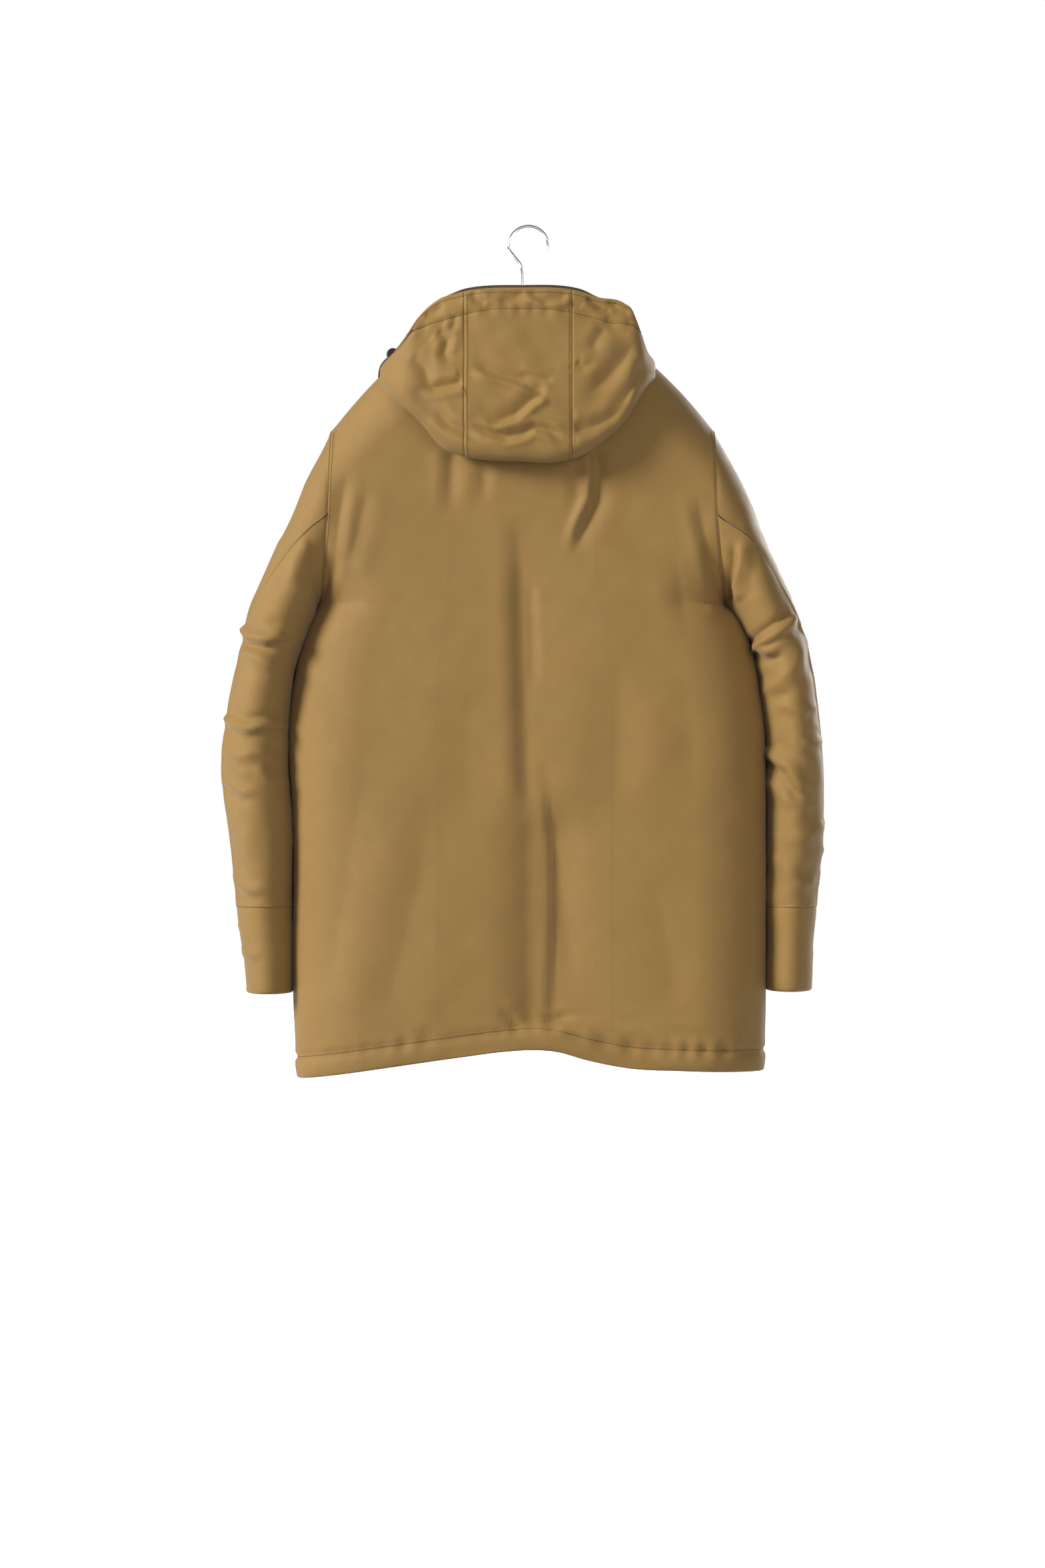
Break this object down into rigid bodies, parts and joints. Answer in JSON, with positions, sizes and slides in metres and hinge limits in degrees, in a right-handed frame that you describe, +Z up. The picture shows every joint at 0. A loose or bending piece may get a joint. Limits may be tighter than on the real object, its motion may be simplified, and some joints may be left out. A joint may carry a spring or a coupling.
{
  "type": "hooded parka",
  "caption": "Hooded, insulated parka with a front zip, storm flap and flap pockets, hanging on a coat hanger with a wire hook.",
  "frame": {"origin": "on the axis of the hook's stem, at the height where the hook's crown rests on a rail", "axes": "+Z up; the coat's back faces -Y and its zip +Y; +X is the wearer's right"},
  "size_m": [0.7508, 0.1937, 1.0633],
  "materials": {
    "shell_fabric": "tightly woven matte-satin khaki shell, slight sheen",
    "lining_fabric": "smooth dark olive-brown lining",
    "insulation": "soft white fibre fill",
    "zip_tape": "woven brown zip tape",
    "zip_metal": "aged brass",
    "snap_metal": "brushed aged brass",
    "cord": "braided dark brown cord",
    "lock_plastic": "satin dark brown moulded plastic",
    "bar_wood": "clear-varnished beech",
    "hook_chrome": "bright chromed wire"
  },
  "bodies": {
    "coat": {"back_panel": "shell_fabric", "left_front_panel": "shell_fabric", "right_front_panel": "shell_fabric", "back_insulation": "insulation", "left_front_insulation": "insulation", "right_front_insulation": "insulation", "back_lining": "lining_fabric", "left_front_lining": "lining_fabric", "right_front_lining": "lining_fabric", "left_collar": "shell_fabric", "right_collar": "shell_fabric", "collar_lining": "lining_fabric", "left_zip_tape": "zip_tape", "right_zip_tape": "zip_tape", "left_zip_teeth": "zip_metal", "right_zip_teeth": "zip_metal", "storm_flap_welt": "shell_fabric", "storm_flap_snap_1_stud": "snap_metal", "storm_flap_snap_2_stud": "snap_metal", "storm_flap_snap_3_stud": "snap_metal", "left_pocket": "shell_fabric", "right_pocket": "shell_fabric", "left_pocket_welt": "shell_fabric", "right_pocket_welt": "shell_fabric", "left_pocket_snap_stud": "snap_metal", "right_pocket_snap_stud": "snap_metal", "left_drawcord": "cord", "right_drawcord": "cord", "hanger_bar": "bar_wood", "hanger_ferrule": "hook_chrome"},
    "hook": {"hanger_hook": "hook_chrome"},
    "left_sleeve": {"left_upper_sleeve": "shell_fabric", "left_under_sleeve": "shell_fabric", "left_sleeve_insulation": "insulation", "left_sleeve_lining": "lining_fabric", "left_cuff": "shell_fabric"},
    "right_sleeve": {"right_upper_sleeve": "shell_fabric", "right_under_sleeve": "shell_fabric", "right_sleeve_insulation": "insulation", "right_sleeve_lining": "lining_fabric", "right_cuff": "shell_fabric"},
    "hood": {"hood_left_panel": "shell_fabric", "hood_centre_panel": "shell_fabric", "hood_right_panel": "shell_fabric", "hood_lining": "lining_fabric"},
    "storm_flap": {"storm_flap": "shell_fabric", "storm_flap_snap_1_cap": "snap_metal", "storm_flap_snap_2_cap": "snap_metal", "storm_flap_snap_3_cap": "snap_metal"},
    "left_pocket_flap": {"left_pocket_flap": "shell_fabric", "left_pocket_snap_cap": "snap_metal"},
    "right_pocket_flap": {"right_pocket_flap": "shell_fabric", "right_pocket_snap_cap": "snap_metal"},
    "zip_slider": {"zip_slider": "zip_metal"},
    "zip_pull": {"zip_pull": "zip_metal"},
    "left_cord_lock": {"left_cord_lock": "lock_plastic"},
    "left_lock_button": {"left_lock_button": "lock_plastic"},
    "right_cord_lock": {"right_cord_lock": "lock_plastic"},
    "right_lock_button": {"right_lock_button": "lock_plastic"}
  },
  "joints": [
    {"name": "hook_swivel", "type": "hinge", "parent": "coat", "child": "hook", "pos_m": [0, 0, -0.1], "axis": [0, 0, 1], "continuous": true},
    {"name": "left_shoulder", "type": "hinge", "parent": "coat", "child": "left_sleeve", "pos_m": [-0.2398, 0, -0.256], "axis": [0, 1, 0], "range_deg": [0, 45]},
    {"name": "right_shoulder", "type": "hinge", "parent": "coat", "child": "right_sleeve", "pos_m": [0.2398, 0, -0.256], "axis": [0, -1, 0], "range_deg": [0, 45]},
    {"name": "hood_lift", "type": "hinge", "parent": "coat", "child": "hood", "pos_m": [0, -0.055, -0.12], "axis": [-1, 0, 0], "range_deg": [0, 85]},
    {"name": "storm_flap_hinge", "type": "hinge", "parent": "coat", "child": "storm_flap", "pos_m": [-0.04615, 0.0766, -0.566], "axis": [0, 0, 1], "range_deg": [0, 100]},
    {"name": "left_pocket_flap_hinge", "type": "hinge", "parent": "coat", "child": "left_pocket_flap", "pos_m": [-0.132, 0.0802, -0.64185], "axis": [1, 0, 0], "range_deg": [0, 150]},
    {"name": "right_pocket_flap_hinge", "type": "hinge", "parent": "coat", "child": "right_pocket_flap", "pos_m": [0.132, 0.0802, -0.64185], "axis": [1, 0, 0], "range_deg": [0, 150]},
    {"name": "zip_slide", "type": "slide", "parent": "coat", "child": "zip_slider", "axis": [0, 0, -1], "range_m": [0, 0.9]},
    {"name": "zip_pull_hinge", "type": "hinge", "parent": "zip_slider", "child": "zip_pull", "pos_m": [0, 0.0695, -0.0855], "axis": [1, 0, 0], "range_deg": [0, 150]},
    {"name": "left_lock_slide", "type": "slide", "parent": "coat", "child": "left_cord_lock", "axis": [0.808, 0, 0.5892], "range_m": [0, 0.04]},
    {"name": "left_lock_press", "type": "slide", "parent": "left_cord_lock", "child": "left_lock_button", "axis": [0, -1, 0], "range_m": [0, 0.003], "stiffness_N_per_m": 500},
    {"name": "right_lock_slide", "type": "slide", "parent": "coat", "child": "right_cord_lock", "axis": [-0.808, 0, 0.5892], "range_m": [0, 0.02]},
    {"name": "right_lock_press", "type": "slide", "parent": "right_cord_lock", "child": "right_lock_button", "axis": [0, -1, 0], "range_m": [0, 0.003], "stiffness_N_per_m": 500}
  ]
}
